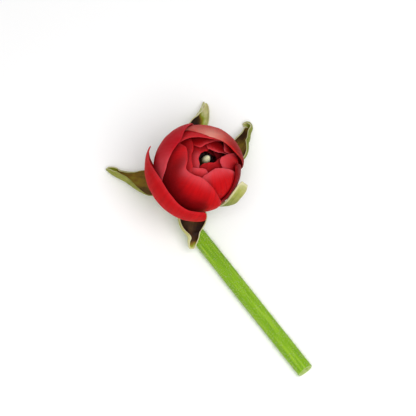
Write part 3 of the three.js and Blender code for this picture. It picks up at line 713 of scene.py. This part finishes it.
def petal_skin(name, red, deep, claw, pink):
    """Living petal skin: satin and translucent, with veins about 0.8 mm apart from claw to rim.
    One attribute mixes in the pink of the rim, which also paints highlights, and on some petals
    painted light on shaded parts; the attribute shade mixes in the deep red of painted shade in
    the folds of the bloom and under covering rims."""
    material, tree = new_material(name)
    uv = add(tree, "ShaderNodeTexCoord")
    pink_and_painted_light = add(tree, "ShaderNodeAttribute", attribute_name="pink_and_painted_light")
    shade = add(tree, "ShaderNodeAttribute", attribute_name="shade")
    veins_place = add(tree, "ShaderNodeMapping", {"Scale": (34, 2.5, 1)},
                      {"Vector": uv.outputs["UV"]})
    veins = add(tree, "ShaderNodeTexNoise", {"Scale": 1.0, "Detail": 3, "Roughness": 0.55},
                {"Vector": veins_place.outputs["Vector"]})
    blush = add(tree, "ShaderNodeTexNoise", {"Scale": 160.0, "Detail": 3},
                {"Vector": uv.outputs["Object"]})
    body = add(tree, "ShaderNodeValToRGB", None, {"Fac": veins.outputs["Fac"]})
    set_steps(body.color_ramp, [(0.3, deep), (0.65, red)])
    height = add(tree, "ShaderNodeSeparateXYZ", None, {"Vector": uv.outputs["UV"]})
    rooted = add(tree, "ShaderNodeMapRange",
                 {"From Min": 0.1, "From Max": 0.5, "To Min": 1.0, "To Max": 0.0},
                 {"Value": height.outputs["Y"]}, interpolation_type="SMOOTHSTEP")
    shaded = add(tree, "ShaderNodeMix", {7: linear(claw)},
                 {"Factor": rooted.outputs["Result"], 6: body.outputs["Color"]}, data_type="RGBA")
    # Painted shade: the deep red that the attribute shade mixes in.
    painted_shade = add(tree, "ShaderNodeMix", {7: linear(PETAL_SHADE)},
                 {"Factor": shade.outputs["Fac"], 6: shaded.outputs[2]}, data_type="RGBA")
    uneven = add(tree, "ShaderNodeMapRange",
                 {"From Min": 0.3, "From Max": 0.7, "To Min": 0.7, "To Max": 1.15},
                 {"Value": blush.outputs["Fac"]})
    # The rim's pink with its painted highlights and painted light, made uneven.
    pinked_and_lit = add(tree, "ShaderNodeMath", None,
                 {0: pink_and_painted_light.outputs["Fac"], 1: uneven.outputs["Result"]},
                 operation="MULTIPLY", use_clamp=True)
    colour = add(tree, "ShaderNodeMix", {7: linear(pink)},
                 {"Factor": pinked_and_lit.outputs["Value"], 6: painted_shade.outputs[2]}, data_type="RGBA")
    bump = add(tree, "ShaderNodeBump", {"Strength": 0.3, "Distance": 0.1 * MM},
               {"Height": veins.outputs["Fac"]})
    skin = add(tree, "ShaderNodeBsdfPrincipled",
               {"Roughness": 0.55, "IOR": 1.42, "Specular IOR Level": 0.04, "Subsurface Weight": 0.3,
                "Subsurface Scale": 1.5 * MM, "Subsurface Radius": (1.0, 0.12, 0.1)},
               {"Base Color": colour.outputs[2], "Normal": bump.outputs["Normal"]})
    add(tree, "ShaderNodeOutputMaterial", None, {"Surface": skin.outputs["BSDF"]})
    return material


def petal_blade(bm, shape, across, along):
    """Adds one petal's outer face to bm, facing out, with its attributes for the rim's pink
    with painted highlights and for painted shade.
    """
    pink_and_painted_light = bm.verts.layers.float.get("pink_and_painted_light") or bm.verts.layers.float.new("pink_and_painted_light")
    shade = bm.verts.layers.float.get("shade") or bm.verts.layers.float.new("shade")
    before = set(bm.faces)
    rows = grid_sheet(bm, across, along, lambda u, v: petal_point(shape, u, v)[0])
    for vert, u, v in rows:
        _, turn, polar, down = petal_point(shape, u, v)
        # The rim's pink and painted highlight, fading down the petal.
        vert[pink_and_painted_light] = smooth_at(shape["pink_and_painted_light"], turn) * math.exp(-((down / shape["band"]) ** 2))
        # Painted shade below the rim, joined with the painted shadow under covering rims.
        painted_shade = smooth_at(shape.get("shade", NO_CHANGE), turn)
        painted_shade *= min(down / shape.get("fold", FOLD_WIDTH), 1)
        # Painted shadow in the strip under the rim of a petal that covers this one.
        rim_shadow = crease(turn, polar, smooth_at(shape["reach"], turn),
                        smooth_at(shape.get("crease", CREASE_WIDTH), turn))
        vert[shade] = 1 - (1 - painted_shade) * (1 - shape.get("crease_depth", CREASE_DEPTH) * rim_shadow)
    faces = [face for face in bm.faces if face not in before]
    face = faces[len(faces) // 2]
    face.normal_update()
    if face.normal.dot(face.calc_center_median() - MM * BLOOM_CENTRE) < 0:
        bmesh.ops.reverse_faces(bm, faces=faces)


petal_skins = {
    "red": petal_skin("satin_red_petal", PETAL_RED, PETAL_DEEP, PETAL_CLAW, PETAL_PINK_AND_HIGHLIGHT),
    # A copy of the skin whose rim colour is a painted salmon highlight.
    "salmon": petal_skin("salmon_highlight_petal", PETAL_RED, PETAL_DEEP, PETAL_CLAW, PETAL_SALMON_HIGHLIGHT),
    # A copy of the skin painted dark, as painted shadow.
    "maroon": petal_skin("shadow_painted_petal", PETAL_PAINTED_SHADOW, PETAL_SHADE, PETAL_CLAW, PETAL_PINK_AND_HIGHLIGHT),
    # A rosy copy of the skin, as painted sheen.
    "rosy": petal_skin("rosy_sheen_painted_petal", PETAL_ROSE_SHEEN, PETAL_DEEP, PETAL_CLAW, PETAL_PINK_AND_HIGHLIGHT),
}
for name, shape in PETALS.items():
    bm = bmesh.new()
    bm.loops.layers.uv.new("UVMap")
    petal_blade(bm, shape, *PETAL_GRID)
    skin = petal_skins[shape.get("skin", "red")]
    petal = finish_piece(name + "_blade", bm, [skin], [name])
    give_wall(petal, PETAL_THICKNESS, offset=-1)

# The heart. Small young petals inside the mouth, in a golden-angle spiral, each nearer the
# axis than the last. They are a darker red and rooted like the others.
GOLDEN_ANGLE = 137.5
HEART_PETALS = 8
HEART_START = 20
HEART_REACH = 11.9
HEART_STEP = 0.65
HEART_SPREAD = 55
HEART_SHOULDER = (0.75, 9)
HEART_SIDE_END = 80
HEART_GRID = (20, 20)
MOUTH_RADIUS = 4.9
MOUTH_UNEVENNESS = 0.4
HEART_RED = "#620a10"
HEART_DEEP = "#3c060b"

heart_random = random.Random(7)
bm = bmesh.new()
bm.loops.layers.uv.new("UVMap")
for k in range(HEART_PETALS):
    middle = GOLDEN_ANGLE * k + HEART_START
    reach = HEART_REACH - HEART_STEP * k
    mouth = MOUTH_RADIUS + MOUTH_UNEVENNESS * heart_random.random()
    top = math.degrees(math.asin(mouth / reach))
    shoulder, drop = HEART_SHOULDER
    fall = [(-1, HEART_SIDE_END - top), (-shoulder, drop), (0, 0), (shoulder, drop),
            (1, HEART_SIDE_END - top)]
    petal_blade(bm, {
        "rim": [(middle + HEART_SPREAD * side, top + down) for side, down in fall],
        "reach": [(middle - HEART_SPREAD, reach), (middle + HEART_SPREAD, reach)],
        "pink_and_painted_light": [(middle - HEART_SPREAD, 0), (middle + HEART_SPREAD, 0)],
        "band": 1,
    }, *HEART_GRID)
heart_skin = petal_skin("young_petal", HEART_RED, HEART_DEEP, HEART_DEEP, PETAL_PINK_AND_HIGHLIGHT)
heart = finish_piece("heart_petals", bm, [heart_skin], ["petals_heart"])
give_wall(heart, PETAL_THICKNESS, offset=-1)

# The stamens. Near-black threads, each with a long anther, in three rings round the carpels.
# They stand on the top of the receptacle.
ORGAN_LEVEL = RECEPTACLE_TOP
STAMENS = 54
# Each ring's radius, how far its stamens lean out in degrees, and their least height.
STAMEN_RINGS = [(2.75, 1.5, 5.4), (3.15, 2.5, 4.7), (3.6, 4, 3.9)]
STAMEN_LEAN = (0.09, 0.08)
HEIGHT_UNEVENNESS = 1.2
TURN_UNEVENNESS = 0.5
FILAMENT_RADIUS = 0.17
ANTHER = (0.34, 0.34, 0.85)
STAMEN_MAROON = "#1b090d"
STAMEN_PURPLE = "#32141c"
TO_METRES = Matrix.Scale(MM, 4)


def leaning(lean):
    """The bloom's frame, with what stands on the receptacle leaning over by (x, y)."""
    return BLOOM @ Matrix(((1, 0, lean[0], -lean[0] * ORGAN_LEVEL),
                           (0, 1, lean[1], -lean[1] * ORGAN_LEVEL),
                           (0, 0, 1, 0), (0, 0, 0, 1)))


def anther_skin():
    """Ripe anthers: dull, near-black maroon, dusted with paler purple pollen."""
    material, tree = new_material("dusty_anther")
    place = add(tree, "ShaderNodeTexCoord")
    dust = add(tree, "ShaderNodeTexNoise", {"Scale": 3000.0, "Detail": 2},
               {"Vector": place.outputs["Object"]})
    colour = add(tree, "ShaderNodeValToRGB", None, {"Fac": dust.outputs["Fac"]})
    set_steps(colour.color_ramp, [(0.45, STAMEN_MAROON), (0.75, STAMEN_PURPLE)])
    skin = add(tree, "ShaderNodeBsdfPrincipled", {"Roughness": 0.7, "IOR": 1.4},
               {"Base Color": colour.outputs["Color"]})
    add(tree, "ShaderNodeOutputMaterial", None, {"Surface": skin.outputs["BSDF"]})
    return material


stamen_random = random.Random(11)
bm = bmesh.new()
for k in range(STAMENS):
    ring, lean, height = STAMEN_RINGS[k % len(STAMEN_RINGS)]
    height += HEIGHT_UNEVENNESS * stamen_random.random()
    turn = 2 * math.pi * (k + TURN_UNEVENNESS * stamen_random.random()) / STAMENS
    stand = (TO_METRES @ leaning(STAMEN_LEAN) @ Matrix.Rotation(turn, 4, "Z")
             @ Matrix.Translation((ring, 0, ORGAN_LEVEL))
             @ Matrix.Rotation(math.radians(lean), 4, "Y"))
    bmesh.ops.create_cone(bm, cap_ends=True, segments=6, radius1=FILAMENT_RADIUS,
                          radius2=FILAMENT_RADIUS, depth=height,
                          matrix=stand @ Matrix.Translation((0, 0, height / 2)))
    bmesh.ops.create_icosphere(bm, subdivisions=2, radius=1,
                               matrix=stand @ Matrix.Translation((0, 0, height))
                               @ Matrix.Diagonal((*ANTHER, 1)))
finish_piece("stamen_ring", bm, [anther_skin()], ["stamens"])

# The carpels. A blunt cream egg in the middle of the bloom, covered in small rounded carpels
# in a golden-angle spiral, on top of the receptacle.
CARPEL_RADIUS = 1.95
CARPEL_LEAN = (0.12, 0.17)
CARPEL_TIP = 10.9
CARPEL_TAPER = 0.12
CARPELS = 90
CARPEL_HEIGHT = 0.28
CARPEL_WIDTH = 0.19
CARPEL_SINK = 0.6
CARPEL_CREAM = "#e3dbb4"
CARPEL_OLIVE = "#a29c62"
# The olive brown of painted shade on the lower carpels.
CARPEL_SHADE_BROWN = "#4a3416"


def carpel_skin():
    """Fresh carpels: matt cream and greener in the furrows between them, and the lower ones olive
    brown, which is painted shade for the stamens that shade them. How far up a carpel stands is
    the attribute rise."""
    material, tree = new_material("fresh_carpel")
    knob = add(tree, "ShaderNodeAttribute", attribute_name="knob")
    colour = add(tree, "ShaderNodeValToRGB", None, {"Fac": knob.outputs["Fac"]})
    set_steps(colour.color_ramp, [(0, CARPEL_OLIVE), (0.35, CARPEL_CREAM)])
    rise = add(tree, "ShaderNodeAttribute", attribute_name="rise")
    low = add(tree, "ShaderNodeMapRange",
              {"From Min": 0.3, "From Max": 0.7, "To Min": 1.0, "To Max": 0.0},
              {"Value": rise.outputs["Fac"]})
    # Painted shade: the lower carpels turn olive brown.
    painted_low_shade = add(tree, "ShaderNodeMix", {7: linear(CARPEL_SHADE_BROWN)},
                  {"Factor": low.outputs["Result"], 6: colour.outputs["Color"]}, data_type="RGBA")
    skin = add(tree, "ShaderNodeBsdfPrincipled",
               {"Roughness": 0.55, "IOR": 1.4, "Subsurface Weight": 0.2, "Subsurface Scale": 0.8 * MM,
                "Subsurface Radius": (1.0, 0.9, 0.4)},
               {"Base Color": painted_low_shade.outputs[2]})
    add(tree, "ShaderNodeOutputMaterial", None, {"Surface": skin.outputs["BSDF"]})
    return material


carpel_ways = []
for k in range(CARPELS):
    level = 1 - 2 * (k + 0.5) / CARPELS
    turn = math.radians(GOLDEN_ANGLE * k)
    flat = math.sqrt(1 - level * level)
    carpel_ways.append(Vector((flat * math.cos(turn), flat * math.sin(turn), level)))
bm = bmesh.new()
knob = bm.verts.layers.float.new("knob")
rise = bm.verts.layers.float.new("rise")
bmesh.ops.create_icosphere(bm, subdivisions=5, radius=1)
half = (CARPEL_TIP - ORGAN_LEVEL) / 2
carpels_frame = leaning(CARPEL_LEAN)
for vert in bm.verts:
    way = vert.co.normalized()
    nearest = max(way.dot(carpel) for carpel in carpel_ways)
    apart = math.acos(min(nearest, 1)) / CARPEL_WIDTH
    vert[knob] = math.exp(-apart * apart)
    vert[rise] = way.z
    swell = 1 + CARPEL_HEIGHT / CARPEL_RADIUS * (vert[knob] - CARPEL_SINK)
    radius = CARPEL_RADIUS * swell * (1 - CARPEL_TAPER * way.z)
    vert.co = MM * (carpels_frame @ Vector((radius * way.x, radius * way.y,
                                            ORGAN_LEVEL + half * (1 + way.z))))
finish_piece("carpel_egg", bm, [carpel_skin()], ["carpel_head"])

# The hairs. Short pale hairs all over the stem, soft and standing out, which show as a light
# fuzz along its edges. Each is a slim three-sided point rooted in the skin.
STEM_HAIRS = 3200
HAIR_LENGTH = (0.6, 1.5)
HAIR_RADIUS = 0.045
HAIR_ROOT = 0.05
HAIR_UNEVENNESS = 0.5
HAIR_CLEARANCE = 0.1
HAIR_VERTS = 4
HAIR_PALE = "#dfe6b8"


def hair_skin():
    """Plant hair: pale green-white, soft and glossy at its edges."""
    material, tree = new_material("soft_stem_hair")
    place = add(tree, "ShaderNodeTexCoord")
    tint = add(tree, "ShaderNodeTexNoise", {"Scale": 300.0}, {"Vector": place.outputs["Object"]})
    colour = add(tree, "ShaderNodeValToRGB", None, {"Fac": tint.outputs["Fac"]})
    set_steps(colour.color_ramp, [(0, STEM_LIGHT), (0.5, HAIR_PALE)])
    skin = add(tree, "ShaderNodeBsdfPrincipled", {"Roughness": 0.5, "IOR": 1.45},
               {"Base Color": colour.outputs["Color"]})
    add(tree, "ShaderNodeOutputMaterial", None, {"Surface": skin.outputs["BSDF"]})
    return material


hair_random = random.Random(5)
bm = bmesh.new()
while len(bm.verts) < HAIR_VERTS * STEM_HAIRS:
    turn = 2 * math.pi * hair_random.random()
    distance = neck_distance + (stem_length - neck_distance) * hair_random.random()
    length = hair_random.uniform(*HAIR_LENGTH)
    root, out = stem_surface(turn, distance, -HAIR_ROOT)
    aside = Vector([hair_random.uniform(-1, 1) for _ in range(3)])
    way = (out + HAIR_UNEVENNESS * aside).normalized()
    if (root + length * way).z < SURFACE + HAIR_CLEARANCE:
        continue
    turned = way.to_track_quat("Z", "Y").to_matrix().to_4x4()
    bmesh.ops.create_cone(bm, cap_ends=True, segments=3, radius1=HAIR_RADIUS, radius2=0, depth=length,
                          matrix=TO_METRES @ Matrix.Translation(root + length / 2 * way) @ turned)
finish_piece("stem_hairs", bm, [hair_skin()])

# The floor. A plain pale surface under the flower, which isn't part of it.
FLOOR_HALF = 1.5
FLOOR_WHITE = "#ffffff"

floor_mesh = bpy.data.meshes.new("floor")
bm = bmesh.new()
bmesh.ops.create_grid(bm, x_segments=1, y_segments=1, size=FLOOR_HALF)
bm.to_mesh(floor_mesh)
bm.free()
floor = bpy.data.objects.new("floor", floor_mesh)
bpy.context.scene.collection.objects.link(floor)
floor_paint, tree = new_material("pale_floor")
floor_face = add(tree, "ShaderNodeBsdfPrincipled",
                 {"Base Color": linear(FLOOR_WHITE), "Roughness": 0.8})
add(tree, "ShaderNodeOutputMaterial", None, {"Surface": floor_face.outputs["BSDF"]})
floor_mesh.materials.append(floor_paint)

# The light. One large soft lamp above the flower, a little to the front and to the right, and
# an even pale sky, as in a studio tent.
LAMP_PLACE = Vector((90, -190, 440))
LAMP_SIZE = 380
LAMP_POWER = 1.75
SKY = "#ffffff"
SKY_STRENGTH = 0.58

lamp = bpy.data.lights.new("key", "AREA")
lamp.shape = "DISK"
lamp.size = LAMP_SIZE * MM
lamp.energy = LAMP_POWER
holder = bpy.data.objects.new("key", lamp)
holder.location = MM * (BLOOM_CENTRE + LAMP_PLACE)
holder.rotation_euler = (-LAMP_PLACE).to_track_quat("-Z", "Y").to_euler()
bpy.context.scene.collection.objects.link(holder)

sky = bpy.data.worlds.new("studio_tent")
sky.use_nodes = True
sky.node_tree.nodes.clear()
glow = add(sky.node_tree, "ShaderNodeBackground", {"Color": linear(SKY), "Strength": SKY_STRENGTH})
add(sky.node_tree, "ShaderNodeOutputWorld", None, {"Surface": glow.outputs["Background"]})
bpy.context.scene.world = sky
bpy.context.scene.view_settings.view_transform = "Standard"

# The camera. A long lens that looks down on the flower, framed as the photograph is: the
# bloom's centre falls on a named pixel of the square picture.
PICTURE = 416
BLOOM_PIXEL = (199.5, 168.4)
MM_PER_PIXEL = 0.42
ELEVATION = math.radians(70)
CAMERA_DISTANCE = 4000

right = Vector((1, 0, 0))
upward = Vector((0, math.sin(ELEVATION), math.cos(ELEVATION)))
towards = Vector((0, -math.cos(ELEVATION), math.sin(ELEVATION)))
aim = BLOOM_CENTRE + MM_PER_PIXEL * ((PICTURE / 2 - BLOOM_PIXEL[0]) * right
                                     + (BLOOM_PIXEL[1] - PICTURE / 2) * upward)
lens = bpy.data.cameras.new("camera")
lens.lens = lens.sensor_width * CAMERA_DISTANCE / (MM_PER_PIXEL * PICTURE)
camera = bpy.data.objects.new("camera", lens)
camera.location = MM * (aim + CAMERA_DISTANCE * towards)
camera.rotation_euler = (-towards).to_track_quat("-Z", "Y").to_euler()
bpy.context.scene.collection.objects.link(camera)
bpy.context.scene.camera = camera
